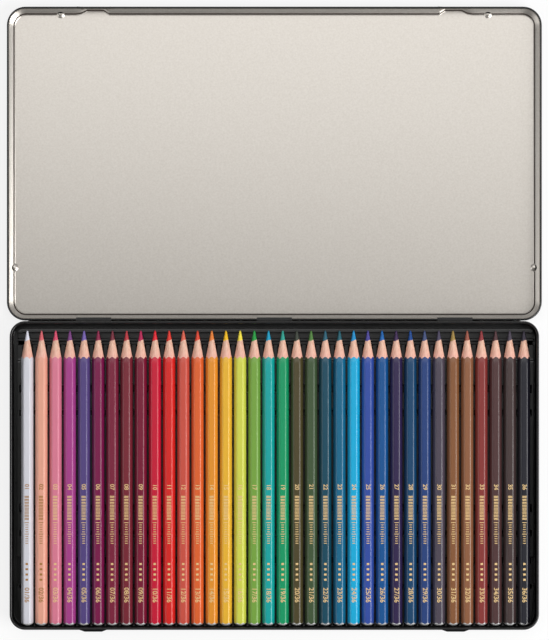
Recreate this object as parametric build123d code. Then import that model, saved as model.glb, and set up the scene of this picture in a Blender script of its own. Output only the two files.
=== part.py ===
from build123d import *
from math import cos, radians, sin, sqrt, tan
import os

# A flat hinged pencil tin, lying open, with its row of hexagonal colour pencils in a moulded tray.
# Millimetres. X runs along the row of pencils, -Y is the front of the base, +Z is up.
# The base stands on z = 0, and the lid lies on its back behind it, turned through 180 degrees.

# ---------------------------------------------------------------- driving dimensions: pencils
pencil_names = [
    "white", "apricot", "pink", "magenta", "violet", "plum", "carmine", "burgundy", "claret",
    "crimson", "red", "coral", "vermilion", "orange", "amber", "lemon", "leaf_green", "turquoise",
    "emerald", "olive", "moss_green", "teal", "petrol", "cyan", "ultramarine", "blue", "indigo",
    "prussian_blue", "navy", "slate_violet", "ochre", "sienna", "russet", "umber", "sepia", "black",
]
pencil_pitch = 8.41         # from one pencil's axis to the next
pencil_length = 175.0       # tip to end
pencil_flats = 6.7          # across two opposite flats
pencil_edge_radius = 1.3    # rounding of the six long edges
lead_diameter = 3.0
cone_length = 18.25         # from the tip to where the cone would meet unrounded long edges
tip_diameter = 0.8          # the blunt end of the point
end_dip = 2.0               # the lacquered end that is dipped after painting
end_dome = 1.9              # how far the end bulges over the width of the pencil

# ---------------------------------------------------------------- driving dimensions: tray
tray_sheet = 0.35           # thermoformed plastic sheet
tray_fit = 0.15             # play between the tray's turned-up edge and the base's wall
tray_edge = 2.0             # height of that edge over the floor of the base
body_room = 1.875           # from the raised body to the base's wall, at the nearer side
tray_land = 2.07            # flat land beside the first and the last groove
tray_rise = 2.7             # top of the groove floors over the floor of the base
row_shift = 0.75            # the body stands this far to the right of the middle
groove_play = 0.15          # play between a pencil's lower flats and its groove
high_crest = 2.75           # ridges between the barrels, over the groove floor
low_crest = 1.4             # ridges between the sharpened cones
low_ridge_reach = 17.8      # from the tips to the first high ridge
ledge_behind = 1.2          # the rear ledge starts this far behind the tips
ledge_reach = 1.3           # and ends this far in front of them
ledge_drop = 0.65           # it lies this far under the pencils' axes
dip_reach = 4.3             # the hollow between the ledge and the bar, from the tips
dip_height = 1.6            # its floor over the floor of the base
bar_start = 5.0             # the bar in front of the hollow, from the tips
bar_reach = 6.3
bar_gap = 0.3               # air between the bar and the cones over it
low_ridge_start = 8.3       # the first cross channel lies between the bar and this
rear_channels = [(32.3, 4.5), (47.1, 3.5)]                            # from the tips: start, width
front_channels = [(67.4, 4.5), (53.2, 3.3), (22.1, 2.4)]              # from the ends: start, width
finger_channel = (36.3, 4.4)                                          # the one with the side pockets
pocket_length = 16.5        # the side pockets run forwards from the finger channel
pocket_floor = 1.6          # their floor over the floor of the base
pocket_width = 2.1
front_ledge = 0.5           # thickness of the tray's front wall
front_ledge_rise = 0.75     # its top over the pencils' axes
end_play = 0.3              # play between the pencils' ends and the tray's front wall
gusset_width = 4.2          # fillings between two pencils' ends, at the front wall
gusset_length = 1.9
gusset_nose = 0.8           # their width at the end that points between the pencils

# ---------------------------------------------------------------- driving dimensions: tin
sheet = 0.3                 # tinplate
rim_radius = 0.75           # outside radius of the rolled rims
tip_room = 5.3              # from the tips to the inside of the rear wall
end_room = 1.5              # from the pencils' ends to the inside of the front wall
rim_over_pencils = 2.8      # the base's rim stands this far over the pencils
base_corner = 9.2
base_fold = 1.6             # outside radius where the floor of the base turns up
lid_fold = 3.4              # the same on the lid
lid_gap = 0.3               # play between the lid's rim and the base, at the rear and the front
lid_side_gap = 0.6          # the same at both sides
seat_gap = 0.2              # air between the lid's pips and the base's rim when it is shut
pip_rise = 1.0              # four round pips keep the shut lid off the rim
pip_radius = 2.6
pip_inset = 3.5             # their middles inside the lid's outer face
pip_front_x = 127.2         # pips in the front, left and right of the middle
pip_side_y = 31.5           # pips at the sides, from the lid's rear face
curl_turn = 270             # degrees that the rolled rim turns through

# ---------------------------------------------------------------- driving dimensions: hinge, catches
fitting_x = 107.0           # outer hinge tabs and both catches, left and right of the middle
hinge_play = 0.08           # between the lid's rolled rim and the tabs round it
tab_length = 20.8
slot_play = 0.6             # at each end of a tab in its slot
slot_height = 2.4           # slots in the lid's rear wall, from the hinge axis
tab_turn = 225              # degrees that a tab wraps round the rim
catch_length = 16.0         # bumps on the front of the base
catch_flat = 10.0
catch_out = 1.05
catch_height = 2.2
catch_under_rim = 0.6       # top of a bump under the top of the rim
recess_length = 18.0        # where the fold in front of the lid is pressed square over a bump
recess_flat = 13.5          # the same at the front wall
hem_length = 20.0           # where the lid's rim is pressed flat to let a bump pass
corner_round = 0.9          # roundings in the outlines of bumps

# ---------------------------------------------------------------- what follows from them
pencil_count = len(pencil_names)
hex_side = pencil_flats / sqrt(3)
row_length = pencil_count * pencil_pitch
body_length = row_length + 2 * tray_land
base_length = body_length + 2 * (body_room + sheet + row_shift)
base_width = pencil_length + tip_room + end_room + 2 * sheet
seat_z = sheet + tray_rise
axis_z = seat_z + pencil_flats / 2
base_height = seat_z + pencil_flats + rim_over_pencils
closed_height = base_height + seat_gap + pip_rise + sheet
lid_step = 2 * rim_radius + lid_gap
lid_side_step = 2 * rim_radius + lid_side_gap
lid_length = base_length + 2 * lid_side_step
lid_width = base_width + 2 * lid_step
lid_corner = base_corner + lid_step
hinge_z = closed_height / 2
front_reach = rim_radius + lid_gap + base_width + catch_out
back_reach = lid_width - rim_radius
hinge_y = (front_reach - back_reach) / 2
base_rear_y = hinge_y - rim_radius - lid_gap
base_front_y = base_rear_y - base_width
base_middle_y = (base_rear_y + base_front_y) / 2
lid_middle_y = hinge_y - rim_radius + lid_width / 2
tip_y = base_rear_y - sheet - tip_room
end_y = tip_y - pencil_length
slot_length = tab_length + 2 * slot_play
cone_slope = (hex_side - tip_diameter / 2) / cone_length
fitting_places = (-fitting_x, fitting_x)
upright = (Align.CENTER, Align.CENTER, Align.MIN)
through = 1.0               # how far cutting bodies run past what they cut


def pencil_x(index):
    return row_shift + (index - (pencil_count - 1) / 2) * pencil_pitch


def block(length, width, corner, height, fold):
    body = extrude(RectangleRounded(length, width, corner), height)
    return fillet(body.faces().sort_by(Axis.Z)[0].edges(), fold)


def upright_box(x_from, x_to, y_from, y_to, z_from, z_to):
    size = (abs(x_to - x_from), abs(y_to - y_from), abs(z_to - z_from))
    middle = ((x_from + x_to) / 2, (y_from + y_to) / 2, (z_from + z_to) / 2)
    return Pos(*middle) * Box(*size)


def fused(pieces):
    return pieces[0].fuse(*pieces[1:])


# ---------------------------------------------------------------- tin
def drawn_pan(length, width, corner, height, fold):
    # a pan pressed from one sheet, standing on z = 0, without its rim
    outside = block(length, width, corner, height, fold)
    inside = block(length - 2 * sheet, width - 2 * sheet, corner - sheet, height, fold - sheet)
    return outside - Pos(0, 0, sheet) * inside


def curl_section():
    # section of the rolled rim: it leaves the top of the wall, from 0 to sheet, and rolls inwards
    outer = CenterArc((rim_radius, 0), rim_radius, 180, -curl_turn)
    inner = CenterArc((rim_radius, 0), rim_radius - sheet, 180 - curl_turn, curl_turn)
    return make_face([outer, Line(outer @ 1, inner @ 0), inner, Line(inner @ 1, outer @ 0)])


def rolled_rim(length, width, corner, level):
    # the section along four straight runs and round four corners, with its wall line at the outside
    pieces = []
    for side in range(4):
        across, along = (length, width) if side % 2 == 0 else (width, length)
        run = along - 2 * corner
        place = Plane(origin=(across / 2, run / 2, level), x_dir=(-1, 0, 0), z_dir=(0, 1, 0))
        section = place * curl_section()
        turned = Rot(0, 0, 90 * side)
        pieces.append(turned * extrude(section, -run))
        corner_axis = Axis((across / 2 - corner, run / 2, 0), (0, 0, 1))
        pieces.append(turned * revolve(section, corner_axis, 90))
    return fused(pieces)


def bump_outline(length, flat, depth):
    # outline of a pressed bump on a wall along X, bulging towards +Y, rounded where it is flat
    points = [
        (-length / 2, -through), (-length / 2, 0), (-flat / 2, depth),
        (flat / 2, depth), (length / 2, 0), (length / 2, -through),
    ]
    outline = make_face(Polyline(*points, close=True))
    shoulders = outline.vertices().group_by(Axis.Y)[-1]
    return fillet(shoulders, corner_round)


def hinge_tab():
    # a tongue of the rear wall that runs out over the lid's rolled rim and wraps round it
    inner = rim_radius + hinge_play
    outer = inner + sheet
    root = -(rim_radius + lid_gap + sheet)
    over = CenterArc((0, 0), outer, 90, -tab_turn)
    under = CenterArc((0, 0), inner, 90 - tab_turn, tab_turn)
    lines = [
        Line((root, outer), over @ 0), over, Line(over @ 1, under @ 0), under,
        Line(under @ 1, (root, inner)), Line((root, inner), (root, outer)),
    ]
    return extrude(Plane.YZ * make_face(lines), tab_length / 2, both=True)


def make_base():
    wall_height = base_height - rim_radius
    pan = drawn_pan(base_length, base_width, base_corner, wall_height, base_fold)
    rim = rolled_rim(base_length, base_width, base_corner, wall_height)
    pan = Pos(0, base_middle_y, 0) * pan.fuse(rim)
    top = base_height - catch_under_rim
    bump = extrude(bump_outline(catch_length, catch_flat, catch_out), catch_height)
    dent_length = catch_length - 2 * sheet
    dent_flat = catch_flat - 2 * sheet
    dent_top = base_height - 2 * rim_radius - sheet
    dent_height = dent_top - (top - catch_height) - sheet
    dent = extrude(bump_outline(dent_length, dent_flat, catch_out - sheet), dent_height)
    facing_front = Rot(0, 0, 180)
    bumps = [Pos(x, base_front_y, top - catch_height) * facing_front * clipped(bump) for x in fitting_places]
    dents = [Pos(x, base_front_y, top - catch_height + sheet) * facing_front * dent for x in fitting_places]
    tabs = [Pos(x, hinge_y, hinge_z) * hinge_tab() for x in (-fitting_x, 0, fitting_x)]
    return pan.fuse(*bumps, *tabs).cut(*dents)


def clipped(bump):
    # the part of a bump that stands out from the middle of the wall's sheet
    reach = 2 * catch_length
    return bump & Pos(0, reach / 2 - sheet / 2, 0) * Box(reach, reach, 4 * closed_height)


def make_lid():
    # lying on its outer face, as it does when it is open
    wall_height = hinge_z
    pan = drawn_pan(lid_length, lid_width, lid_corner, wall_height, lid_fold)
    rim = rolled_rim(lid_length, lid_width, lid_corner, wall_height)
    front = lid_width / 2
    hem_top = wall_height + rim_radius
    hem_cut = [
        upright_box(x - hem_length / 2, x + hem_length / 2, front - sheet, front - 3 * rim_radius,
                    wall_height - rim_radius - sheet, hem_top + through)
        for x in fitting_places
    ]
    crown_cut = [
        upright_box(x - hem_length / 2, x + hem_length / 2, front - 3 * rim_radius, front + through,
                    wall_height, hem_top + through)
        for x in fitting_places
    ]
    hems = [
        upright_box(x - hem_length / 2, x + hem_length / 2, front, front - 2 * sheet,
                    wall_height - rim_radius, hem_top)
        for x in fitting_places
    ]
    lid = pan.fuse(rim).cut(*hem_cut, *crown_cut).fuse(*hems)
    inside = Pos(0, 0, sheet) * block(lid_length - 2 * sheet, lid_width - 2 * sheet, lid_corner - sheet,
                                      2 * wall_height, lid_fold - sheet)
    recess = extrude(recess_outline(0), lid_fold)
    hollow = extrude(recess_outline(sheet), 2 * wall_height)
    recesses = [Pos(x, front, 0) * recess - inside for x in fitting_places]
    hollows = [Pos(x, front, sheet) * hollow for x in fitting_places]
    lid = lid.fuse(*recesses).cut(*hollows)
    slots = [
        upright_box(x - slot_length / 2, x + slot_length / 2, -front - through, -front + sheet + hinge_play,
                    wall_height - slot_height, wall_height)
        for x in (-fitting_x, 0, fitting_x)
    ]
    lid = pressed_pips(lid.cut(*slots))
    return Pos(0, lid_middle_y, 0) * lid


def recess_outline(inset):
    # seen from above, from the end of the fold out to the front wall, inset by a wall on three sides
    points = [
        (inset - recess_length / 2, -lid_fold), (inset - recess_flat / 2, -inset),
        (recess_flat / 2 - inset, -inset), (recess_length / 2 - inset, -lid_fold),
    ]
    return make_face(Polyline(*points, close=True))


def pressed_pips(lid):
    # round pips pressed up from the lid's outer face, just inside the line of the base's rim
    ball = (pip_radius ** 2 + pip_rise ** 2) / (2 * pip_rise)
    depth = sheet + pip_rise - ball
    front = lid_width / 2 - pip_inset
    side = lid_length / 2 - pip_inset
    side_y = pip_side_y - lid_width / 2
    places = [(-pip_front_x, front), (pip_front_x, front), (-side, side_y), (side, side_y)]
    half = sheet / 2
    inside = Pos(0, 0, half) * block(lid_length - sheet, lid_width - sheet, lid_corner - half,
                                     hinge_z, lid_fold - half)
    domes = [Pos(x, y, depth) * Sphere(ball) & inside for x, y in places]
    dents = [Pos(x, y, depth) * Sphere(ball - sheet) for x, y in places]
    return lid.fuse(*domes).cut(*dents)


# ---------------------------------------------------------------- tray
def groove_section(crest, inset, bottom):
    # outline across the row: grooves with flats at 60 degrees, crests between them, a land at each
    # end. inset sinks it into the sheet, to follow the underside
    lean = inset * tan(radians(30))
    floor = hex_side / 2 + groove_play / sin(radians(60)) + lean
    mouth = floor + crest / tan(radians(60))
    top = seat_z + crest - inset
    base = seat_z - inset
    end = body_length / 2 - inset
    points = [(-end, bottom), (-end, top)]
    for index in range(pencil_count):
        x = pencil_x(index) - row_shift
        points += [(x - mouth, top), (x - floor, base), (x + floor, base), (x + mouth, top)]
    points += [(end, top), (end, bottom)]
    return make_face(Polyline(*points, close=True))


def grooved(crest, inset, bottom, y_from, y_to):
    # that section between two stations, y_from behind y_to
    place = Plane(origin=(row_shift, y_from, 0), x_dir=(1, 0, 0), z_dir=(0, -1, 0))
    return extrude(place * groove_section(crest, inset, bottom), y_from - y_to)


def channel_stations():
    # the cross channels, from the rear, as (rear edge, front edge)
    rear = [(tip_y - start, tip_y - start - width) for start, width in rear_channels]
    front = [(end_y + start + width, end_y + start) for start, width in front_channels + [finger_channel]]
    return sorted(rear + front, reverse=True)


def rear_step(inset, bottom):
    # ledge under the tips, hollow, and the bar in front of it, drawn from the side
    ledge_z = axis_z - ledge_drop - inset
    dip_z = sheet + dip_height - inset
    cone_under_bar = axis_z - (tip_diameter / 2 + bar_reach * cone_slope)
    bar_z = cone_under_bar - bar_gap - inset
    points = [
        (tip_y + ledge_behind - inset, bottom), (tip_y + ledge_behind - inset, ledge_z),
        (tip_y - ledge_reach + inset, ledge_z), (tip_y - ledge_reach - inset, dip_z),
        (tip_y - dip_reach + inset, dip_z), (tip_y - bar_start - inset, bar_z),
        (tip_y - bar_reach + inset, bar_z), (tip_y - bar_reach + inset, bottom),
    ]
    side = make_face(Polyline(*points, close=True))
    length = body_length - 2 * inset
    return Pos(row_shift, 0, 0) * extrude(Plane.YZ * side, length / 2, both=True)


def gusset():
    # fills the corner between two pencils' ends and the front wall, under the rounded ends
    points = [
        (-gusset_width / 2, 0), (gusset_width / 2, 0),
        (gusset_nose / 2, gusset_length), (-gusset_nose / 2, gusset_length),
    ]
    return extrude(make_face(Polyline(*points, close=True)), axis_z + front_ledge_rise - seat_z)


def tray_block(inset, lift, height):
    # what the tray's turned-up edge surrounds, standing on the floor of the base
    length = base_length - 2 * (sheet + tray_fit + inset)
    width = base_width - 2 * (sheet + tray_fit + inset)
    corner = base_corner - sheet - tray_fit - inset
    fold = base_fold - sheet - inset
    return Pos(0, base_middle_y, sheet + lift) * block(length, width, corner, height, fold)


def make_tray():
    floor_z = sheet
    left = row_shift - body_length / 2
    right = row_shift + body_length / 2
    row_left = left + tray_land
    row_right = right - tray_land
    ridge_start = tip_y - low_ridge_start
    high_start = tip_y - low_ridge_reach
    wall_back = end_y - end_play
    wall_front = wall_back - front_ledge
    over = base_height
    foot = tray_block(0, 0, tray_edge) - tray_block(tray_sheet, tray_sheet, tray_edge)
    wall_top = axis_z + front_ledge_rise
    raised = [
        rear_step(0, floor_z),
        grooved(low_crest, 0, floor_z, ridge_start, high_start),
        grooved(high_crest, 0, floor_z, high_start, wall_back),
        upright_box(left, right, wall_back, wall_front, floor_z, wall_top),
    ]
    raised += [
        Pos((pencil_x(index) + pencil_x(index + 1)) / 2, wall_back, seat_z) * gusset()
        for index in range(pencil_count - 1)
    ]
    body = foot.fuse(fused(raised) & tray_block(0, 0, over))
    stations = channel_stations()
    channels = [
        upright_box(row_left, row_right, rear, front, floor_z + tray_sheet, over)
        for rear, front in stations
    ]
    pocket_back = end_y + finger_channel[0] + finger_channel[1]
    pocket_front = pocket_back - pocket_length
    pocket_z = floor_z + pocket_floor
    pockets = [
        upright_box(edge - pocket_width * side, edge + through * side, pocket_back, pocket_front,
                    pocket_z, over)
        for edge, side in ((row_left, 1), (row_right, -1))
    ]
    within = tray_block(tray_sheet, -through, over)
    hollows = [hollow & within for hollow in underside(ridge_start, high_start, wall_back, stations)]
    return body.cut(*channels, *pockets).cut(*hollows)


def underside(ridge_start, high_start, wall_back, stations):
    # the hollow backs of everything raised, open downwards, one sheet under the top
    below = sheet - through
    hollows = [
        rear_step(tray_sheet, below),
        grooved(low_crest, tray_sheet, below, ridge_start - tray_sheet, high_start),
    ]
    rears = [high_start + tray_sheet] + [front for rear, front in stations]
    fronts = [rear for rear, front in stations] + [wall_back - front_ledge + 2 * tray_sheet]
    for rear, front in zip(rears, fronts):
        hollows.append(grooved(high_crest, tray_sheet, below, rear - tray_sheet, front + tray_sheet))
    return hollows


# ---------------------------------------------------------------- pencils
def hexagon_face():
    outline = RegularPolygon(hex_side, 6, major_radius=True)
    return fillet(outline.vertices(), pencil_edge_radius)


def sharpening(reach):
    # the cone that a sharpener leaves, from the blunt tip, widened past the barrel
    length = cone_length + reach
    wide = tip_diameter / 2 + length * cone_slope
    cone = Cone(tip_diameter / 2, wide, length, align=upright)
    return cone + Pos(0, 0, length) * Cylinder(wide, pencil_length - length, align=upright)


def pencil_solids():
    # standing on its tip: casing, lead and dipped end, as three solids that meet face to face
    barrel = extrude(hexagon_face(), pencil_length) & sharpening(pencil_edge_radius)
    half = hex_side - pencil_edge_radius * (2 / sqrt(3) - 1)
    dome_radius = (half ** 2 + end_dome ** 2) / (2 * end_dome)
    dome = Pos(0, 0, pencil_length - dome_radius) * Sphere(dome_radius)
    tube = Cylinder(half + through, pencil_length - dome_radius, align=upright)
    barrel = barrel & (dome + tube)
    dip_level = pencil_length - end_dip
    bore = Cylinder(lead_diameter / 2, dip_level, align=upright)
    slab = Pos(0, 0, dip_level) * Cylinder(2 * hex_side, 2 * end_dip, align=upright)
    dip = barrel & slab
    lead = barrel & bore
    casing = barrel - slab - bore
    return [casing, lead, dip]


def make_pencil(solids, index):
    # laid down with its tip to the rear and one flat up
    laid = Pos(pencil_x(index), tip_y, axis_z) * Rot(90, 0, 0)
    return Compound(children=[laid * solid.solid() for solid in solids])


# ---------------------------------------------------------------- write
os.makedirs("parts", exist_ok=True)
export_step(make_base(), "parts/base_pan.step")
export_step(make_lid(), "parts/lid_pan.step")
export_step(make_tray(), "parts/pencil_tray.step")
sharpened = pencil_solids()
for number, name in enumerate(pencil_names, 1):
    export_step(make_pencil(sharpened, number - 1), f"parts/pencil_{number:02d}_{name}.step")
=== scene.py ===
import bmesh
import bpy
import math
import random
from mathutils import Matrix, Vector


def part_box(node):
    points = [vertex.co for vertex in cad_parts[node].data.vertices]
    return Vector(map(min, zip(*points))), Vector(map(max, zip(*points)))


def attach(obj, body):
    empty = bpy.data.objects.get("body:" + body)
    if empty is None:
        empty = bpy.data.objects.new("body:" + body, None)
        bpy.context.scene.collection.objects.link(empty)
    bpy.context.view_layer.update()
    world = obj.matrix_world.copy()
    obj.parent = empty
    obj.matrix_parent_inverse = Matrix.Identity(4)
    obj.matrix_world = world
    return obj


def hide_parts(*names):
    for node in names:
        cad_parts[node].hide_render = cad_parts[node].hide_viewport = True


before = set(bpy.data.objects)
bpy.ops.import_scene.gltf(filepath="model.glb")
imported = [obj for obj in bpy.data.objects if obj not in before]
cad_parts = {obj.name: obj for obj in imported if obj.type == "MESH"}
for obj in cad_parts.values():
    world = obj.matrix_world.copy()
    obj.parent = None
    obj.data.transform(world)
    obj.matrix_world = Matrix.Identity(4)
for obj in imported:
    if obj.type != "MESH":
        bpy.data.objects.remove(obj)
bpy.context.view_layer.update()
print("stage: frame loaded")

mm = 0.001  # everything below is thought of in millimetres
rng = random.Random(36)

photo = {
    "height": 640,  # the picture's longer side, in pixels
    "pixelsPerMm": 1.687, "measuredAt": 6.35,  # at the height of the pencils' axes
    "cameraHeight": 1500.0, "centreX": 0.1, "centreY": -0.8,
    "sensor": 36.0,  # falls on the longer side
    "nearest": 0.05, "farthest": 50.0,  # metres
}


# ---- small helpers
def linear(hexColour):
    values = [int(hexColour[i:i + 2], 16) / 255 for i in (0, 2, 4)]
    return [v / 12.92 if v <= 0.04045 else ((v + 0.055) / 1.055) ** 2.4 for v in values] + [1.0]


def add(tree, kind, settings=None, links=None):
    # adds one node; a setting is an input's name or number, or one of the node's own properties
    fresh = tree.nodes.new(kind)
    for key, value in (settings or {}).items():
        if isinstance(key, int) or key in fresh.inputs:
            fresh.inputs[key].default_value = value
        else:
            setattr(fresh, key, value)
    for key, source in (links or {}).items():
        tree.links.new(source, fresh.inputs[key])
    return fresh


def startMaterial(name):
    material = bpy.data.materials.new(name)
    material.use_nodes = True
    material.node_tree.nodes.clear()
    return material, material.node_tree


def endMaterial(tree, shader):
    add(tree, "ShaderNodeOutputMaterial", links={"Surface": shader.outputs[0]})


def meshPiece(name, vertices, faces, materials, smoothAngle=40.0):
    mesh = bpy.data.meshes.new(name)
    mesh.from_pydata(vertices, [], faces)
    mesh.validate()
    for material in materials:
        mesh.materials.append(material)
    for face in mesh.polygons:
        face.use_smooth = True
    mesh.set_sharp_from_angle(angle=math.radians(smoothAngle))
    piece = bpy.data.objects.new(name, mesh)
    bpy.context.scene.collection.objects.link(piece)
    return piece


def smoothStep(low, high, value):
    t = min(max((value - low) / (high - low), 0.0), 1.0)
    return t * t * (3 - 2 * t)


def softMin(a, b, radius):
    h = min(max(0.5 + 0.5 * (b - a) / radius, 0.0), 1.0)
    return b + (a - b) * h - radius * h * (1 - h)


def roundedRing(low, high, corner, inset, steps=10, along=1):
    # points round a rounded rectangle, anticlockwise
    ring = []
    radius = max(corner - inset, 0.05)
    for sx, sy, startAngle in ((1, -1, -90), (1, 1, 0), (-1, 1, 90), (-1, -1, 180)):
        cx = (high.x - corner) if sx > 0 else (low.x + corner)
        cy = (high.y - corner) if sy > 0 else (low.y + corner)
        turned = []
        for k in range(steps + 1):
            angle = math.radians(startAngle + 90 * k / steps)
            turned.append((cx + radius * math.cos(angle), cy + radius * math.sin(angle)))
        if ring:
            ring += betweenPoints(ring[-1], turned[0], along)
        ring += turned
    return ring + betweenPoints(ring[-1], ring[0], along)


def betweenPoints(start, end, along):
    return [tuple(a + (b - a) * k / along for a, b in zip(start, end)) for k in range(1, along)]


# ---- camera, straight above the open tin
def makeCamera():
    data = bpy.data.cameras.new("photoCamera")
    data.sensor_width = photo["sensor"]
    reach = photo["cameraHeight"] - photo["measuredAt"]
    data.lens = photo["pixelsPerMm"] * reach * photo["sensor"] / photo["height"]
    data.clip_start = photo["nearest"]
    data.clip_end = photo["farthest"]
    camera = bpy.data.objects.new("photoCamera", data)
    camera.location = (photo["centreX"] * mm, photo["centreY"] * mm, photo["cameraHeight"] * mm)
    bpy.context.scene.collection.objects.link(camera)
    bpy.context.scene.camera = camera


makeCamera()

# ---- finishes of the tin
enamelLook = {"colour": "0B0B0C", "roughness": 0.2, "ior": 1.5, "peelMm": 1.6, "peelDepth": 0.004}
tinLook = {"colour": "CFCAC3", "dull": "C2BCB4", "roughness": 0.36, "grainMm": 0.5, "speckleMm": 1.1}


def blackEnamel():
    # stoving enamel rolled on tinplate and baked: deep black, glossy, with a faint orange peel
    look = enamelLook
    material, tree = startMaterial("stovingEnamelBlack")
    place = add(tree, "ShaderNodeTexCoord")
    peel = add(tree, "ShaderNodeTexNoise", {"Scale": 1 / (look["peelMm"] * mm), "Detail": 2.0},
               {"Vector": place.outputs["Object"]})
    wipe = add(tree, "ShaderNodeTexNoise", {"Scale": 1 / (35 * mm), "Detail": 3.0},
               {"Vector": place.outputs["Object"]})
    rough = add(tree, "ShaderNodeMapRange", {"To Min": look["roughness"] - 0.05, "To Max": look["roughness"] + 0.08},
                {"Value": wipe.outputs["Fac"]})
    bump = add(tree, "ShaderNodeBump", {"Strength": 0.25, "Distance": look["peelDepth"] * mm},
               {"Height": peel.outputs["Fac"]})
    shader = add(tree, "ShaderNodeBsdfPrincipled", {"Base Color": linear(look["colour"]), "IOR": look["ior"]},
                 {"Roughness": rough.outputs["Result"], "Normal": bump.outputs["Normal"]})
    endMaterial(tree, shader)
    return material


def bareTinplate():
    # bright rolled tinplate under a clear wash lacquer: a soft grey mirror with a fine rolled grain
    look = tinLook
    material, tree = startMaterial("bareTinplate")
    place = add(tree, "ShaderNodeTexCoord")
    stretch = add(tree, "ShaderNodeMapping", {"Scale": (0.08, 1.0, 1.0)}, {"Vector": place.outputs["Object"]})
    grain = add(tree, "ShaderNodeTexNoise", {"Scale": 1 / (look["grainMm"] * mm), "Detail": 3.0},
                {"Vector": stretch.outputs["Vector"]})
    speckle = add(tree, "ShaderNodeTexNoise",
                  {"Scale": 1 / (look["speckleMm"] * mm), "Detail": 4.0, "Roughness": 0.7},
                  {"Vector": place.outputs["Object"]})
    spots = add(tree, "ShaderNodeMapRange", {"From Min": 0.3, "From Max": 0.7}, {"Value": speckle.outputs["Fac"]})
    tone = add(tree, "ShaderNodeMix", {"data_type": "RGBA", 6: linear(look["dull"]), 7: linear(look["colour"])},
               {0: spots.outputs["Result"]})
    rough = add(tree, "ShaderNodeMapRange", {"To Min": look["roughness"] - 0.03, "To Max": look["roughness"] + 0.05},
                {"Value": speckle.outputs["Fac"]})
    bump = add(tree, "ShaderNodeBump", {"Strength": 0.12, "Distance": 0.003 * mm}, {"Height": grain.outputs["Fac"]})
    shader = add(tree, "ShaderNodeBsdfPrincipled", {"Metallic": 1.0},
                 {"Base Color": tone.outputs[2], "Roughness": rough.outputs["Result"],
                  "Normal": bump.outputs["Normal"]})
    endMaterial(tree, shader)
    return material


def paintedGrooveShade():
    # painted shade: a nearly black brown put in the fine groove of the border for the shade in that crease, half
    # glossy
    material, tree = startMaterial("paintedGrooveShadeLacquer")
    place = add(tree, "ShaderNodeTexCoord")
    flow = add(tree, "ShaderNodeTexNoise", {"Scale": 1 / (5 * mm), "Detail": 3.0},
               {"Vector": place.outputs["Object"]})
    tone = add(tree, "ShaderNodeMix", {"data_type": "RGBA", 6: linear("1C1009"), 7: linear("3E2C20")},
               {0: flow.outputs["Fac"]})
    shader = add(tree, "ShaderNodeBsdfPrincipled", {"Roughness": 0.4, "IOR": 1.5}, {"Base Color": tone.outputs[2]})
    endMaterial(tree, shader)
    return material


enamel = blackEnamel()
tinplate = bareTinplate()
# the nearly black brown is painted shade for the crease of the border's groove
grooveShade = paintedGrooveShade()

# ---- the two pans: the base is the frame's own solid, the lid a copy of it in two finishes
tin = {
    "sheet": 0.3, "rim": 0.75, "lidCorner": 11.0, "lidRimAt": 7.0,
    "hemsAt": (-107.0, 107.0), "hemLength": 20.0, "curlTurn": 270, "curlSteps": 18,
    "enamelTo": 1.25,  # the enamel ends on the crown of the rolled rim, this far in
    # the border between wall and panel, from outside in: (inset, height over the panel)
    "border": ((0.75, 1.9), (1.5, 1.4), (2.1, 1.0), (3.2, 0.42), (3.35, 0.2), (3.75, 0.2), (3.95, 0.3),
               (4.45, 0.004), (4.45, -0.1)),
    "grooveBands": (3, 4, 5),  # the bands of the fine groove that get the painted shade
    "recessShift": 2.2, "recessFlat": 5.0, "recessEnd": 9.0,
    "facing": -0.05,  # a face that turns away further than this belongs to the outer side
}


def insetFromWall(point, low, high, corner):
    # how far a point lies inside a rounded rectangle
    middle = (low + high) / 2
    half = (high - low) / 2
    qx = abs(point.x - middle.x) - (half.x - corner)
    qy = abs(point.y - middle.y) - (half.y - corner)
    outside = math.hypot(max(qx, 0.0), max(qy, 0.0))
    return corner - outside - min(max(qx, qy), 0.0)


def inwardFrom(point, low, high, corner):
    step = 0.05 * mm
    gains = []
    for way in (Vector((step, 0, 0)), Vector((0, step, 0))):
        gains.append(insetFromWall(point + way, low, high, corner) - insetFromWall(point - way, low, high, corner))
    return Vector((gains[0], gains[1], 0.0)).normalized()


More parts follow.
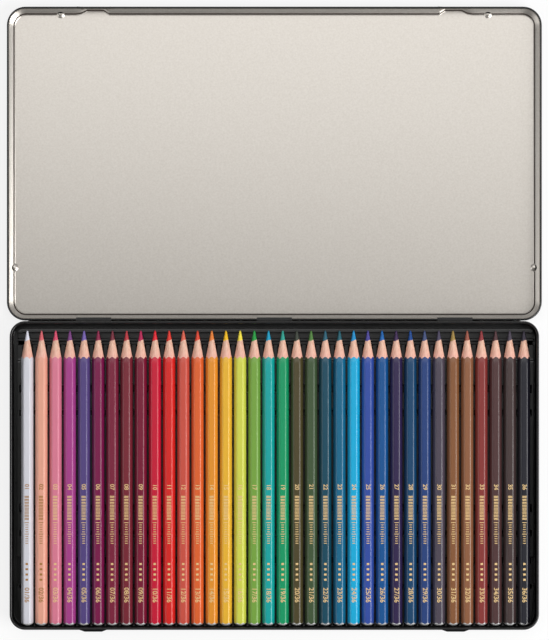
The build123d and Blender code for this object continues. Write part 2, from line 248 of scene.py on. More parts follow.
def dressLid():
    # enamel on the outer side of the sheet and round the rolled rim, bare metal on the inner side
    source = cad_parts["lid_pan"].data
    low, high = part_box("lid_pan")
    rimAt = tin["lidRimAt"] * mm
    rim = tin["rim"] * mm
    sheet = tin["sheet"] * mm
    hemHalf = (tin["hemLength"] / 2 + 0.01) * mm
    faces = []
    kinds = []
    normals = []
    for face in source.polygons:
        at = face.center
        inHem = min(abs(at.x - x * mm) for x in tin["hemsAt"]) < hemHalf and at.y > high.y - 3 * rim
        if inHem and at.z > rimAt - rim - 0.01 * mm:
            continue  # the rim that is pressed flat here is drawn rolled below
        inset = insetFromWall(at, low, high, tin["lidCorner"] * mm)
        fromCurl = math.hypot(inset - rim, at.z - rimAt)
        onCurl = at.z > rimAt - 1.05 * rim and fromCurl < rim + 0.03 * mm and inset < tin["enamelTo"] * mm
        outside = inset < 0.4 * sheet or at.z < 0.4 * sheet
        if not outside and at.z < rimAt - 1.05 * rim:  # the outer side looks down or away from the middle
            inward = inwardFrom(at, low, high, tin["lidCorner"] * mm)
            outside = min(face.normal.z, face.normal.dot(inward)) < tin["facing"]
        faces.append(tuple(face.vertices))
        kinds.append(0 if outside or onCurl else 1)
        normals += [source.corner_normals[loop].vector[:] for loop in face.loop_indices]
    mesh = bpy.data.meshes.new("lid_shell")
    mesh.from_pydata([v.co[:] for v in source.vertices], [], faces)
    for material in (enamel, tinplate):
        mesh.materials.append(material)
    for face, kind in zip(mesh.polygons, kinds):
        face.use_smooth = True
        face.material_index = kind
    mesh.normals_split_custom_set(normals)
    lid = bpy.data.objects.new("lid_shell", mesh)
    bpy.context.scene.collection.objects.link(lid)
    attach(lid, "lid")
    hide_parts("lid_pan")
    for number, x in enumerate(tin["hemsAt"]):
        rollRim("front_rim_%d" % (number + 1), x, high.y / mm)
    pressedBorder(low / mm, high / mm)


def rollRim(name, middle, front):
    # a short length of the lid's rolled rim, from its wall over the crown and under
    section = []
    rim = tin["rim"]
    inner = rim - tin["sheet"]
    steps = tin["curlSteps"]
    turns = [math.radians(tin["curlTurn"]) * k / steps for k in range(steps + 1)]
    for radius, way in ((rim, turns), (inner, turns[::-1])):
        for turn in way:
            section.append((front - rim + radius * math.cos(turn), tin["lidRimAt"] + radius * math.sin(turn)))
    ends = (middle - tin["hemLength"] / 2, middle + tin["hemLength"] / 2)
    vertices = [(x * mm, y * mm, z * mm) for x in ends for y, z in section]
    count = len(section)
    faces = [(k, (k + 1) % count, count + (k + 1) % count, count + k) for k in range(count)]
    roll = meshPiece(name, vertices, faces, [enamel, tinplate], 50.0)
    for face in roll.data.polygons:
        if front * mm - face.center.y > tin["enamelTo"] * mm:
            face.material_index = 1
    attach(roll, "lid")


def pressedBorder(low, high):
    # the border pressed round the panel, with a fine groove in it that carries painted shade, squeezed outwards at
    # the recesses
    profile = [(inset, tin["sheet"] + rise) for inset, rise in tin["border"]]
    vertices = []
    for inset, z in profile:
        ring = roundedRing(low, high, tin["lidCorner"], inset, steps=10, along=90)
        for x, y in ring:
            if y > (low.y + high.y) / 2:
                fromMiddle = min(abs(x - at) for at in tin["hemsAt"])
                y += tin["recessShift"] * (1 - smoothStep(tin["recessFlat"], tin["recessEnd"], fromMiddle))
                y = min(y, high.y - tin["sheet"] - 0.02 * (5.0 - inset))  # stays inside the front wall, in order
            vertices.append((x * mm, y * mm, z * mm))
    count = len(vertices) // len(profile)
    faces = [(j * count + i, j * count + (i + 1) % count, (j + 1) * count + (i + 1) % count, (j + 1) * count + i)
             for j in range(len(profile) - 1) for i in range(count)]
    step = meshPiece("panel_border", vertices, faces, [tinplate, grooveShade], 12.0)
    # the groove's bands get the painted shade, a dark brown for the shade in that crease
    for number, face in enumerate(step.data.polygons):
        face.material_index = 1 if number // count in tin["grooveBands"] else 0
    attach(step, "lid")


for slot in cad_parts["base_pan"].material_slots:
    slot.material = enamel
dressLid()
print("stage: tin dressed")

# ---- the moulded tray
trayShape = {
    "floor": 0.65, "under": 0.35, "seat": 3.0, "highCrest": 5.75, "lowCrest": 4.4,
    "grooveFlat": 2.107, "grooveAngle": 60, "crestRound": 0.35, "land": 2.07,
    "ledge": 5.7, "hollow": 1.9, "bar": 4.45, "wall": 7.1, "pocket": 1.9,
    "rearReach": 1.2, "frontReach": 0.8, "endPlay": 0.3,  # the body past the points and past the ends
    "rearCorner": 3.5, "frontCorner": 7.0, "round": 0.3, "sideRun": 0.32, "sunk": 0.05,
    "sheet": 0.35, "edgeFold": 1.3, "foldSteps": 6, "footReach": 8.0,
    "lipShoulder": 1.9, "lipTop": 1.98, "lipFrom": 0.15, "lipTo": 0.85,  # the last two are shares of the sheet
    "baseCorner": 9.2, "baseSheet": 0.3, "play": 0.15,
}
# where the mesh has its lines: beside each step, across half a groove, and on the land at the side
stepLines = (-1.2, -0.3, -0.2, -0.1, 0, 0.1, 0.2, 0.3, 1.2)
grooveLines = (0, trayShape["grooveFlat"], 2.35, 2.9, 3.3, 3.5, 3.65, 3.8, 3.95)
landLines = (0.1, 0.2, 0.3, 0.45, 0.9, 1.5)
# from the points: where each level starts, and the level
rearLevels = [(-1.2, "ledge"), (1.3, "hollow"), (4.75, "bar"), (6.3, "floor"), (8.3, "lowCrest"), (17.8, "highCrest")]
rearChannels = [(32.3, 4.5), (47.1, 3.5)]  # from the points: start and width
fingerChannel = (36.3, 4.4)  # the one with the side pockets
frontChannels = [(67.4, 4.5), (53.2, 3.3), fingerChannel, (22.1, 2.4)]  # from the ends: start and width
pocketLength = 16.5
pocketRun = (sum(fingerChannel) - pocketLength, sum(fingerChannel))  # from the ends

pencilNodes = sorted(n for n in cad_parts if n.startswith("pencil_") and n[7:9].isdigit())
pencilBoxes = [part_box(n) for n in pencilNodes]
pencilXs = [(low.x + high.x) / 2 / mm for low, high in pencilBoxes]
tipY = pencilBoxes[0][1].y / mm
endY = pencilBoxes[0][0].y / mm
axisZ = (pencilBoxes[0][0].z + pencilBoxes[0][1].z) / 2 / mm
pitch = (pencilXs[-1] - pencilXs[0]) / (len(pencilXs) - 1)


def trayPlastic():
    # polystyrene sheet drawn over a mould: black, half glossy, a little uneven where it was stretched
    material, tree = startMaterial("thermoformedPolystyreneBlack")
    place = add(tree, "ShaderNodeTexCoord")
    drawn = add(tree, "ShaderNodeTexNoise", {"Scale": 1 / (6 * mm), "Detail": 3.0},
                {"Vector": place.outputs["Object"]})
    fine = add(tree, "ShaderNodeTexNoise", {"Scale": 1 / (0.5 * mm), "Detail": 2.0},
               {"Vector": place.outputs["Object"]})
    tone = add(tree, "ShaderNodeMix", {"data_type": "RGBA", 6: linear("0C0C0C"), 7: linear("161615")},
               {0: drawn.outputs["Fac"]})
    rough = add(tree, "ShaderNodeMapRange", {"To Min": 0.24, "To Max": 0.38}, {"Value": drawn.outputs["Fac"]})
    bump = add(tree, "ShaderNodeBump", {"Strength": 0.2, "Distance": 0.004 * mm}, {"Height": fine.outputs["Fac"]})
    shader = add(tree, "ShaderNodeBsdfPrincipled", {"IOR": 1.57},
                 {"Base Color": tone.outputs[2], "Roughness": rough.outputs["Result"],
                  "Normal": bump.outputs["Normal"]})
    endMaterial(tree, shader)
    return material


def stepsAlongTray():
    # (y, level) from the rear to the front, without and with the cross channels
    shape = trayShape
    plain = [(tipY - start, shape[level]) for start, level in rearLevels]
    plain.append((endY - shape["endPlay"], shape["wall"]))
    cuts = [(tipY - start, tipY - start - width) for start, width in rearChannels]
    cuts += [(endY + start + width, endY + start) for start, width in frontChannels]
    return plain, cuts


def levelAt(y, steps, cuts):
    r = trayShape["round"]
    level = steps[0][1]
    for place, nextLevel in steps[1:]:
        level += (nextLevel - level) * smoothStep(-r, r, place - y)
    for rear, front in cuts:
        inside = smoothStep(-r, r, rear - y) * smoothStep(-r, r, y - front)
        level += (trayShape["floor"] - level) * inside
    return level


def spread(places, offsets, low, high):
    # lines at every offset from every place, the ones that nearly meet left out
    values = sorted({round(p + o, 4) for p in places for o in offsets})
    kept = [low]
    for value in values:
        if low + 0.03 < value < high - 0.03 and value - kept[-1] > 0.04:
            kept.append(value)
    return kept + [high]


def makeTray(material):
    shape = trayShape
    nodeLow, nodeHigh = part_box("pencil_tray")
    rowLeft = pencilXs[0] - pitch / 2
    rowRight = pencilXs[-1] + pitch / 2
    left = rowLeft - shape["land"]
    right = rowRight + shape["land"]
    rear = tipY + shape["rearReach"]
    front = endY - shape["frontReach"]
    plain, cuts = stepsAlongTray()
    turns = [p for p, level in plain] + [y for cut in cuts for y in cut]
    turns += [endY + pocketRun[0], endY + pocketRun[1]]
    ys = spread(turns + [rear, front], stepLines, front, rear)
    offsets = sorted({side * line for line in grooveLines for side in (-1, 1)})
    xs = spread(pencilXs, offsets + [-pitch / 2, pitch / 2], rowLeft, rowRight)
    xs = [left] + [left + s for s in landLines] + xs + [right - s for s in reversed(landLines)] + [right]
    slope = math.tan(math.radians(shape["grooveAngle"]))
    grooveFrom = tipY - rearLevels[4][0] + 0.4  # a little before the first ridges
    grooveTo = endY - shape["endPlay"]
    pocketFrom, pocketTo = (endY + reach for reach in pocketRun)
    soft = shape["round"]

    def heightAt(x, y):
        overLand = x < rowLeft or x > rowRight
        level = levelAt(y, plain, [] if overLand else cuts)
        if overLand:
            inPocket = smoothStep(-soft, soft, y - pocketFrom) * smoothStep(-soft, soft, pocketTo - y)
            level += (shape["pocket"] - level) * inPocket
        elif grooveTo < y < grooveFrom:
            nearest = min(abs(x - p) for p in pencilXs)
            groove = shape["seat"] + max(nearest - shape["grooveFlat"], 0.0) * slope
            level = softMin(level, groove, shape["crestRound"])
        edge = min(x - left, right - x, rear - y, y - front)
        foot = shape["floor"] - shape["sunk"]
        return foot + (level - foot) * smoothStep(0.0, shape["sideRun"], edge)

    def rounded(x, y):
        # the body's upright corners: squares round each corner's centre become circles
        corner = shape["rearCorner"] if y > (rear + front) / 2 else shape["frontCorner"]
        cx = left + corner if x < 0 else right - corner
        cy = rear - corner if y > (rear + front) / 2 else front + corner
        a = (cx - x) if x < 0 else (x - cx)
        b = (y - cy) if y > (rear + front) / 2 else (cy - y)
        if a <= 0 or b <= 0:
            return x, y
        scale = max(a, b) / math.hypot(a, b)
        newX = cx - a * scale if x < 0 else cx + a * scale
        newY = cy + b * scale if y > (rear + front) / 2 else cy - b * scale
        return newX, newY

    vertices = []
    for y in ys:
        for x in xs:
            px, py = rounded(x, y)
            vertices.append((px * mm, py * mm, heightAt(x, y) * mm))
    columns = len(xs)
    rows = len(ys)
    faces = [
        (j * columns + i, j * columns + i + 1, (j + 1) * columns + i + 1, (j + 1) * columns + i)
        for j in range(rows - 1) for i in range(columns - 1)
    ]
    border = list(range(columns)) + [j * columns + columns - 1 for j in range(1, rows)]
    border += [(rows - 1) * columns + i for i in range(columns - 2, -1, -1)]
    border += [j * columns for j in range(rows - 2, 0, -1)]
    start = len(vertices)
    vertices += [(vertices[v][0], vertices[v][1], shape["under"] * mm) for v in border]
    count = len(border)
    faces += [
        (border[k], start + k, start + (k + 1) % count, border[(k + 1) % count]) for k in range(count)
    ]
    faces.append(tuple(start + k for k in range(count - 1, -1, -1)))
    body = meshPiece("tray_body", vertices, faces, [material], 50.0)
    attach(body, "base")
    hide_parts("pencil_tray")
    edge = trayEdge(nodeLow / mm, nodeHigh / mm, material)
    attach(edge, "base")
    print("stage: tray", rows, "by", columns)


def trayEdge(low, high, material):
    # the flat foot round the raised body and its turned-up edge
    shape = trayShape
    corner = shape["baseCorner"] - shape["baseSheet"] - shape["play"]
    fold = shape["edgeFold"]
    sheet = shape["sheet"]
    bottom = low.z
    shoulder = bottom + shape["lipShoulder"]
    top = bottom + shape["lipTop"]
    turns = [math.radians(90 * k / shape["foldSteps"]) for k in range(shape["foldSteps"] + 1)]

    def bend(radius, way):
        return [(fold - radius * math.sin(turn), bottom + fold - radius * math.cos(turn)) for turn in way]

    profile = [(shape["footReach"], bottom + sheet)] + bend(fold - sheet, turns)
    profile += [(sheet, shoulder), (sheet * shape["lipTo"], top), (sheet * shape["lipFrom"], top), (0.0, shoulder)]
    profile += bend(fold, turns[::-1]) + [(shape["footReach"], bottom)]
    vertices = []
    for inset, z in profile:
        vertices += [(x * mm, y * mm, z * mm) for x, y in roundedRing(low, high, corner, inset)]
    ringCount = len(vertices) // len(profile)
    faces = []
    for j in range(len(profile)):
        following = (j + 1) % len(profile)
        for i in range(ringCount):
            k = (i + 1) % ringCount
            faces.append((j * ringCount + i, following * ringCount + i, following * ringCount + k, j * ringCount + k))
    return meshPiece("tray_edge", vertices, faces, [material], 45.0)


makeTray(trayPlastic())

# ---- pencils
pencilShape = {
    "length": 175.0, "flats": 6.7, "edgeRadius": 1.3, "tipRadius": 0.4, "slope": 0.19,
    "scallopSlope": 0.29,  # steeper where the sharpener leaves the wood, so the paint ends in shallow arcs
    "lead": 5.9, "leadTilt": 0.5, "leadWobble": 0.12, "leadRings": 5, "woodRings": 6,
    "cornerRise": 0.3, "dipMiddle": 1.45, "dipCorner": 2.1, "dome": 4.49,
    "arcSteps": 5, "flatSteps": (-0.95, -0.5, 0.0, 0.5, 0.95),
    "tipRings": ((0.35, 0.04), (0.7, 0.14), (0.92, 0.3)), "tipRound": 0.5,  # share of the tip's radius, depth
    "barrelRings": (20.0, 60.0, 100.0, 140.0), "endRings": (1.0, 0.96, 0.88, 0.74, 0.55, 0.3),
}
paleLacquers = ("white", "apricot")  # the foil looks darker on these
# name of the colour: lacquer and lead
pencilColours = {
    "white": ("D8D8E0", "E4E4F0"), "apricot": ("EBA78F", "D4636A"), "pink": ("DC7C94", "DC5070"),
    "magenta": ("A83C8A", "7A4080"), "violet": ("53427F", "7560AE"), "plum": ("7A0A48", "8A1C46"),
    "carmine": ("7C1A38", "742838"), "burgundy": ("78202F", "B8343E"), "claret": ("78082F", "B81E54"),
    "crimson": ("C80A32", "E02030"), "red": ("D81E18", "E03428"), "coral": ("CC5040", "DC6450"),
    "vermilion": ("E06228", "DC4630"), "orange": ("E69224", "E68034"), "amber": ("EAB42E", "F0BC14"),
    "lemon": ("D2D64E", "F4E244"), "leaf_green": ("76A43E", "1C9A40"), "turquoise": ("00A4A0", "0898BE"),
    "emerald": ("009862", "2A9E8E"), "olive": ("4A4222", "3C4238"), "moss_green": ("3E5434", "50803C"),
    "teal": ("00455A", "2A6276"), "petrol": ("006488", "205E6C"), "cyan": ("00AAD8", "1C90CC"),
    "ultramarine": ("2C4AA0", "4A4496"), "blue": ("005090", "1462AC"), "indigo": ("2A1A48", "3C2450"),
    "prussian_blue": ("004068", "14468E"), "navy": ("1C3C78", "404E78"), "slate_violet": ("4A4250", "48425A"),
    "ochre": ("845430", "A08444"), "sienna": ("8C5A3A", "9A5444"), "russet": ("86302C", "92363A"),
    "umber": ("4C2E2E", "523438"), "sepia": ("40302F", "4A4250"), "black": ("141420", "36303E"),
}


def lacquer(name, hexColour):
    # nitrocellulose lacquer on cedar, many thin coats: full colour, glossy, fine draw lines along the barrel
    material, tree = startMaterial("nitroLacquer_" + name)
    place = add(tree, "ShaderNodeTexCoord")
    along = add(tree, "ShaderNodeMapping", {"Scale": (1.0, 0.03, 1.0)}, {"Vector": place.outputs["Object"]})
    lines = add(tree, "ShaderNodeTexNoise", {"Scale": 1 / (0.35 * mm), "Detail": 2.0},
                {"Vector": along.outputs["Vector"]})
    colour = linear(hexColour)
    deeper = [c * 0.86 for c in colour[:3]] + [1.0]
    tone = add(tree, "ShaderNodeMix", {"data_type": "RGBA", 6: deeper, 7: colour}, {0: lines.outputs["Fac"]})
    bump = add(tree, "ShaderNodeBump", {"Strength": 0.15, "Distance": 0.004 * mm}, {"Height": lines.outputs["Fac"]})
    shader = add(tree, "ShaderNodeBsdfPrincipled",
                 {"Roughness": 0.38, "IOR": 1.5, "Coat Weight": 0.35, "Coat Roughness": 0.1,
                  "Sheen Weight": 0.15, "Sheen Roughness": 0.3},
                 {"Base Color": tone.outputs[2], "Normal": bump.outputs["Normal"]})
    endMaterial(tree, shader)
    return material


def colourLead(name, hexColour):
    # pigment in wax and clay, cut by a sharpener: soft sheen, tiny turned ridges
    material, tree = startMaterial("waxLead_" + name)
    place = add(tree, "ShaderNodeTexCoord")
    turned = add(tree, "ShaderNodeMapping", {"Scale": (0.2, 1.0, 0.2)}, {"Vector": place.outputs["Object"]})
    ridges = add(tree, "ShaderNodeTexNoise", {"Scale": 1 / (0.3 * mm), "Detail": 3.0},
                 {"Vector": turned.outputs["Vector"]})
    colour = linear(hexColour)
    pale = [min(1.0, c * 1.06 + 0.004) for c in colour[:3]] + [1.0]
    tone = add(tree, "ShaderNodeMix", {"data_type": "RGBA", 6: colour, 7: pale}, {0: ridges.outputs["Fac"]})
    bump = add(tree, "ShaderNodeBump", {"Strength": 0.3, "Distance": 0.01 * mm}, {"Height": ridges.outputs["Fac"]})
    shader = add(tree, "ShaderNodeBsdfPrincipled", {"Roughness": 0.42, "IOR": 1.45},
                 {"Base Color": tone.outputs[2], "Normal": bump.outputs["Normal"]})
    endMaterial(tree, shader)
    return material


def cedarWood():
    # incense cedar, cut across by a sharpener: pale pinkish tan, grain along the pencil
    material, tree = startMaterial("incenseCedar")
    place = add(tree, "ShaderNodeTexCoord")
    along = add(tree, "ShaderNodeMapping", {"Scale": (1.0, 0.07, 1.0)}, {"Vector": place.outputs["Object"]})
    grain = add(tree, "ShaderNodeTexNoise", {"Scale": 1 / (0.6 * mm), "Detail": 4.0, "Roughness": 0.6},
                {"Vector": along.outputs["Vector"]})
    bands = add(tree, "ShaderNodeMapRange", {"From Min": 0.35, "From Max": 0.68}, {"Value": grain.outputs["Fac"]})
    tone = add(tree, "ShaderNodeMix", {"data_type": "RGBA", 6: linear("DCA68E"), 7: linear("F4CEB8")},
               {0: bands.outputs["Result"]})
    split = add(tree, "ShaderNodeSeparateXYZ", links={"Vector": place.outputs["Object"]})
    nearPaint = add(tree, "ShaderNodeMapRange", {"From Min": -10.5 * mm, "From Max": -16.0 * mm, "To Max": 0.55},
                    {"Value": split.outputs["Y"]})
    blush = add(tree, "ShaderNodeMix", {"data_type": "RGBA", 7: linear("E8A49A")},
                {0: nearPaint.outputs["Result"], 6: tone.outputs[2]})
    bump = add(tree, "ShaderNodeBump", {"Strength": 0.35, "Distance": 0.02 * mm}, {"Height": grain.outputs["Fac"]})
    shader = add(tree, "ShaderNodeBsdfPrincipled", {"Roughness": 0.55, "IOR": 1.5},
                 {"Base Color": blush.outputs[2], "Normal": bump.outputs["Normal"]})
    endMaterial(tree, shader)
    return material


def dippedEnd():
    # thick white lacquer that the end was dipped in
    material, tree = startMaterial("dipLacquerWhite")
    place = add(tree, "ShaderNodeTexCoord")
    flow = add(tree, "ShaderNodeTexNoise", {"Scale": 1 / (1.5 * mm), "Detail": 2.0},
               {"Vector": place.outputs["Object"]})
    tone = add(tree, "ShaderNodeMix", {"data_type": "RGBA", 6: linear("DCDCDC"), 7: linear("F2F2F2")},
               {0: flow.outputs["Fac"]})
    shader = add(tree, "ShaderNodeBsdfPrincipled",
                 {"Roughness": 0.25, "IOR": 1.5, "Coat Weight": 0.4, "Coat Roughness": 0.1},
                 {"Base Color": tone.outputs[2]})
    endMaterial(tree, shader)
    return material


def goldFoil(name, dullHex, brightHex):
    # hot stamped imitation gold: warm metal, a little broken up by the grain below
    material, tree = startMaterial(name)
    place = add(tree, "ShaderNodeTexCoord")
    wear = add(tree, "ShaderNodeTexNoise", {"Scale": 1 / (0.4 * mm), "Detail": 3.0},
               {"Vector": place.outputs["Object"]})
    tone = add(tree, "ShaderNodeMix", {"data_type": "RGBA", 6: linear(dullHex), 7: linear(brightHex)},
               {0: wear.outputs["Fac"]})
    rough = add(tree, "ShaderNodeMapRange", {"To Min": 0.35, "To Max": 0.55}, {"Value": wear.outputs["Fac"]})
    shader = add(tree, "ShaderNodeBsdfPrincipled", {"Metallic": 0.35},
                 {"Base Color": tone.outputs[2], "Roughness": rough.outputs["Result"]})
    endMaterial(tree, shader)
    return material


def hexagonOutline():
    # (x, z) points of the rounded hexagon with a flat on top, going round once
    shape = pencilShape
    apothem = shape["flats"] / 2
    radius = shape["edgeRadius"]
    centreAt = (apothem - radius) / math.cos(math.radians(30))
    points = []
    for corner in range(6):
        towards = math.radians(30 + 60 * corner)
        for k in range(shape["arcSteps"] + 1):
            angle = towards + math.radians(-30 + 60 * k / shape["arcSteps"])
            x = centreAt * math.sin(towards) + radius * math.sin(angle)
            z = centreAt * math.cos(towards) + radius * math.cos(angle)
            points.append((x, z))
        flat = math.radians(60 + 60 * corner)
        for along in shape["flatSteps"]:
            points.append((apothem * math.sin(flat) + along * math.cos(flat),
                           apothem * math.cos(flat) - along * math.sin(flat)))
    return points


def pencilRings(phase):
    # rings of (x, y, z) from the tip to the end, and the material of the band that follows each ring
    shape = pencilShape
    outline = hexagonOutline()
    slope = shape["slope"]
    tip = shape["tipRadius"]
    apothem = shape["flats"] / 2
    coneEnd = (apothem - tip) / slope
    length = shape["length"]
    dome = shape["dome"]

    def paintEdge(size):
        return coneEnd + (size - apothem) / shape["scallopSlope"]

    def coneRadius(along):
        return tip + slope * along if along < coneEnd else apothem + shape["scallopSlope"] * (along - coneEnd)

    def leadEdge(angle):
        # cut a little aslant, longer on the left
        wobble = math.sin(2 * angle + phase) + 0.6 * math.sin(5 * angle + 2 * phase)
        return shape["lead"] - shape["leadTilt"] * math.sin(angle) + shape["leadWobble"] * wobble

    def coneRing(reach):
        ring = []
        for x, z in outline:
            size = math.hypot(x, z)
            along = reach(size, math.atan2(x, z))
            radius = min(coneRadius(along), size)
            ring.append((x / size * radius, -along, z / size * radius))
        return ring

    def dipEdge(x, z):
        # the dip's edge lies lower on the flats than on the corners
        share = (math.hypot(x, z) - apothem) / shape["cornerRise"]
        return length - shape["dipMiddle"] - (shape["dipCorner"] - shape["dipMiddle"]) * min(share, 1.0)

    def endDepth(x, z):
        return dome - math.sqrt(dome ** 2 - x ** 2 - z ** 2)

    rings = []
    for share, depth in shape["tipRings"]:
        rings.append(([(x / math.hypot(x, z) * tip * share, -depth, z / math.hypot(x, z) * tip * share)
                       for x, z in outline], 0))
    start = shape["tipRound"]
    for k in range(shape["leadRings"]):
        part = k / shape["leadRings"]
        rings.append((coneRing(lambda size, angle: start + (leadEdge(angle) - start) * part), 0))
    for k in range(shape["woodRings"]):
        part = k / shape["woodRings"]
        rings.append((coneRing(
            lambda size, angle: leadEdge(angle) + (paintEdge(size) - leadEdge(angle)) * part), 1))
    rings.append(([(x, -paintEdge(math.hypot(x, z)), z) for x, z in outline], 2))
    for along in shape["barrelRings"]:
        rings.append(([(x, -along, z) for x, z in outline], 2))
    rings.append(([(x, -dipEdge(x, z), z) for x, z in outline], 3))
    for share in shape["endRings"]:
        rings.append(([(x * share, -(length - endDepth(x * share, z * share)), z * share) for x, z in outline], 3))
    return rings


stamp = {
    # places are measured from the point
    "thick": 0.02, "digitSpread": 0.05, "headAt": 90.8, "headHeight": 3.51, "tailAt": 152.0, "tailHeight": 3.9,
    "boldFrom": 97.8, "boldPitch": 1.85, "boldCount": 8, "boldHalf": 1.3, "boldBars": ((0.0, 0.55), (0.85, 1.25)),
    "thinFrom": 113.4, "thinPitch": 1.36, "thinCount": 10, "thinHalf": 0.85, "thinBar": 0.42, "longEvery": 5,
    "dotsFrom": 137.5, "dotPitch": 3.1, "dotCount": 4, "dotHalf": 0.75, "dotLength": 1.2,
}


def foilMarks(number, total):
    # the foil stamp on the upper flat: the pencil's number, two plain scales of bars, its place in the set
    marks = bmesh.new()
    top = pencilShape["flats"] / 2
    thick = stamp["thick"]

    def box(reach, fromY, toY):
        corners = [marks.verts.new((x * mm, -y * mm, z * mm)) for z in (top - 0.01, top + thick)
                   for x, y in ((-reach, toY), (reach, toY), (reach, fromY), (-reach, fromY))]
        for quad in ((3, 2, 1, 0), (4, 5, 6, 7), (0, 1, 5, 4), (1, 2, 6, 5), (2, 3, 7, 6), (3, 0, 4, 7)):
            marks.faces.new([corners[q] for q in quad])

    def digits(text, along, height):
        curve = bpy.data.curves.new("digits", "FONT")
        curve.body = text
        curve.size = height * mm
        curve.extrude = thick / 2 * mm
        curve.offset = stamp["digitSpread"] * mm
        curve.align_x = "LEFT"
        curve.align_y = "CENTER"
        holder = bpy.data.objects.new("digits", curve)
        flat = bpy.data.meshes.new_from_object(holder)
        flat.transform(Matrix.Translation((0.0, -along * mm, (top + 0.5 * thick) * mm))
                       @ Matrix.Rotation(math.radians(-90), 4, "Z"))
        marks.from_mesh(flat)
        bpy.data.objects.remove(holder)
        bpy.data.curves.remove(curve)
        bpy.data.meshes.remove(flat)

    for k in range(stamp["boldCount"]):
        start = stamp["boldFrom"] + stamp["boldPitch"] * k
        for barFrom, barTo in stamp["boldBars"]:
            box(stamp["boldHalf"], start + barFrom, start + barTo)
    for k in range(stamp["thinCount"]):
        start = stamp["thinFrom"] + stamp["thinPitch"] * k
        box(stamp["thinHalf"] if k % stamp["longEvery"] else stamp["boldHalf"], start, start + stamp["thinBar"])
    for k in range(stamp["dotCount"]):
        start = stamp["dotsFrom"] + stamp["dotPitch"] * k
        box(stamp["dotHalf"], start, start + stamp["dotLength"])
    digits("%02d" % number, stamp["headAt"], stamp["headHeight"])
    digits("%02d/%02d" % (number, total), stamp["tailAt"], stamp["tailHeight"])
    return marks


def makePencil(index, node, wood, dip, foil):
    name = node[len("pencil_00_"):]
    paintHex, leadHex = pencilColours[name]
    materials = [colourLead(name, leadHex), wood, lacquer(name, paintHex), dip, foil]
    rings = pencilRings(rng.uniform(0, 2 * math.pi))
    count = len(rings[0][0])
    build = bmesh.new()
    placed = [[build.verts.new((x * mm, y * mm, z * mm)) for x, y, z in ring] for ring, kind in rings]
    tip = build.verts.new((0, 0, 0))
    end = build.verts.new((0, -pencilShape["length"] * mm, 0))
    for k in range(count):
        follow = (k + 1) % count
        build.faces.new((tip, placed[0][k], placed[0][follow])).material_index = 0
        for j in range(len(placed) - 1):
            face = build.faces.new((placed[j][k], placed[j + 1][k], placed[j + 1][follow], placed[j][follow]))
            face.material_index = rings[j][1]
        build.faces.new((placed[-1][k], end, placed[-1][follow])).material_index = 3
    marks = foilMarks(index + 1, len(pencilNodes))
    markMesh = bpy.data.meshes.new("marks")
    marks.to_mesh(markMesh)
    marks.free()
    before = len(build.faces)
    build.from_mesh(markMesh)
    build.faces.ensure_lookup_table()
    for face in build.faces[before:]:
        face.material_index = 4
    bpy.data.meshes.remove(markMesh)
    bmesh.ops.recalc_face_normals(build, faces=build.faces)
    mesh = bpy.data.meshes.new("pencil_%02d" % (index + 1))
    build.to_mesh(mesh)
    build.free()
    for material in materials:
        mesh.materials.append(material)
    for face in mesh.polygons:
        face.use_smooth = True
    mesh.set_sharp_from_angle(angle=math.radians(42))
    pencil = bpy.data.objects.new("drawn_" + node, mesh)
    pencil.location = (pencilXs[index] * mm, tipY * mm, axisZ * mm)
    bpy.context.scene.collection.objects.link(pencil)
    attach(pencil, node)
    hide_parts(node)


def makePencils():
    wood = cedarWood()
    dip = dippedEnd()
    foil = goldFoil("hotStampedGoldFoil", "DCB274", "F8DCA4")
    dullFoil = goldFoil("hotStampedDullFoil", "9A6A2C", "BE8A44")
    for index, node in enumerate(pencilNodes):
        makePencil(index, node, wood, dip, dullFoil if node.endswith(paleLacquers) else foil)
    print("stage: pencils", len(pencilNodes))


makePencils()

# ---- floor, sky and lamps
studio = {
    "glow": 0.8, "gapFrom": -2.6, "gapTo": 1.6, "gapHalf": 146.5,  # no glow in the crack under the hinge
    "zenith": 0.07, "horizon": 0.55, "skyFrom": 0.25, "skyTo": 0.7, "floorHalf": 6.0, "floorDrop": 0.05,
}
# name, place, target, size, watts
panels = (
    ("keyPanel", (1.15, -0.6, 1.05), (0, -0.1, 0), (1.2, 0.9), 24.5),
    ("fillPanel", (-1.3, -0.35, 0.75), (0, -0.1, 0), (1.0, 1.0), 4.0),
    ("ceilingPanel", (0.0, 0.64, 1.35), (0.0, 0.64, 0), (1.5, 1.15), 9.0),
)


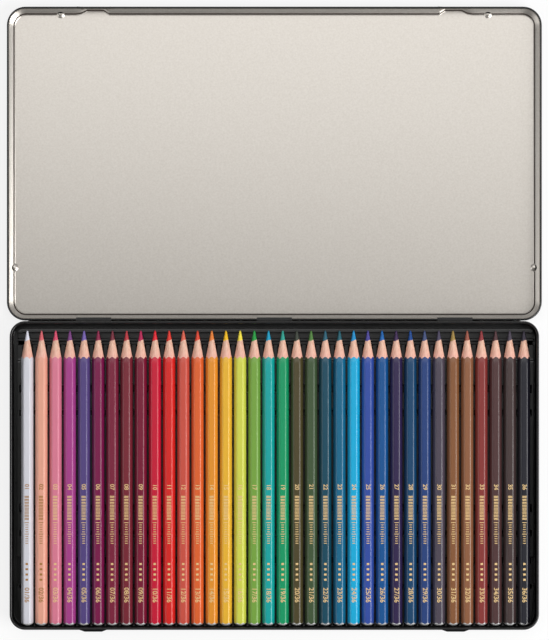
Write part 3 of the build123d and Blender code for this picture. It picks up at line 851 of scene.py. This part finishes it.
def makeFloor():
    # white paper that also glows a little where it is seen, but not in the crack under the hinge
    material, tree = startMaterial("whiteSweep")
    seen = add(tree, "ShaderNodeLightPath")
    cameraOrGloss = add(tree, "ShaderNodeMath", {"operation": "MAXIMUM"},
                        {0: seen.outputs["Is Camera Ray"], 1: seen.outputs["Is Glossy Ray"]})
    seenAtAll = add(tree, "ShaderNodeMath", {"operation": "MAXIMUM"},
                    {0: cameraOrGloss.outputs[0], 1: seen.outputs["Is Transmission Ray"]})
    place = add(tree, "ShaderNodeTexCoord")
    split = add(tree, "ShaderNodeSeparateXYZ", links={"Vector": place.outputs["Object"]})
    gapMiddle = (studio["gapFrom"] + studio["gapTo"]) / 2 * mm
    gapReach = (studio["gapTo"] - studio["gapFrom"]) / 2 * mm
    acrossGap = add(tree, "ShaderNodeMath", {"operation": "COMPARE", 1: gapMiddle, 2: gapReach},
                    {0: split.outputs["Y"]})
    alongGap = add(tree, "ShaderNodeMath", {"operation": "COMPARE", 1: 0.0, 2: studio["gapHalf"] * mm},
                   {0: split.outputs["X"]})
    inGap = add(tree, "ShaderNodeMath", {"operation": "MULTIPLY"}, {0: acrossGap.outputs[0], 1: alongGap.outputs[0]})
    besideGap = add(tree, "ShaderNodeMath", {"operation": "SUBTRACT", 0: 1.0}, {1: inGap.outputs[0]})
    share = add(tree, "ShaderNodeMath", {"operation": "MULTIPLY", 1: studio["glow"]}, {0: seenAtAll.outputs[0]})
    masked = add(tree, "ShaderNodeMath", {"operation": "MULTIPLY"}, {0: share.outputs[0], 1: besideGap.outputs[0]})
    paper = add(tree, "ShaderNodeBsdfDiffuse", {"Color": linear("F6F6F6")})
    glow = add(tree, "ShaderNodeEmission", {"Color": (1, 1, 1, 1), "Strength": 1.0})
    both = add(tree, "ShaderNodeMixShader", links={0: masked.outputs[0], 1: paper.outputs[0], 2: glow.outputs[0]})
    endMaterial(tree, both)
    size = studio["floorHalf"]
    floor = meshPiece("floor", [(-size, -size, 0), (size, -size, 0), (size, size, 0), (-size, size, 0)],
                      [(0, 1, 2, 3)], [material])
    floor.location.z = -studio["floorDrop"] * mm


def makeSky():
    # a dim room, darkest overhead
    world = bpy.data.worlds.new("studioSky")
    bpy.context.scene.world = world
    world.use_nodes = True
    tree = world.node_tree
    tree.nodes.clear()
    place = add(tree, "ShaderNodeTexCoord")
    split = add(tree, "ShaderNodeSeparateXYZ", links={"Vector": place.outputs["Generated"]})
    tone = add(tree, "ShaderNodeMapRange",
               {"From Min": studio["skyFrom"], "From Max": studio["skyTo"],
                "To Min": studio["horizon"], "To Max": studio["zenith"]},
               {"Value": split.outputs["Z"]})
    sky = add(tree, "ShaderNodeBackground", {"Color": (1, 1, 1, 1)}, {"Strength": tone.outputs["Result"]})
    plain = add(tree, "ShaderNodeBackground", {"Color": (1, 1, 1, 1), "Strength": 1.0})
    seen = add(tree, "ShaderNodeLightPath")
    both = add(tree, "ShaderNodeMixShader",
               links={0: seen.outputs["Is Camera Ray"], 1: sky.outputs[0], 2: plain.outputs[0]})
    add(tree, "ShaderNodeOutputWorld", links={"Surface": both.outputs[0]})


def makePanel(name, place, target, size, power):
    data = bpy.data.lights.new(name, "AREA")
    data.shape = "RECTANGLE"
    data.size, data.size_y = size
    data.energy = power
    lamp = bpy.data.objects.new(name, data)
    lamp.location = place
    lamp.rotation_mode = "QUATERNION"
    lamp.rotation_quaternion = (Vector(target) - Vector(place)).to_track_quat("-Z", "Y")
    lamp.visible_camera = False
    bpy.context.scene.collection.objects.link(lamp)


makeFloor()
makeSky()
for panel in panels:
    makePanel(*panel)
bpy.context.scene.view_settings.view_transform = "Standard"
print("stage: studio")
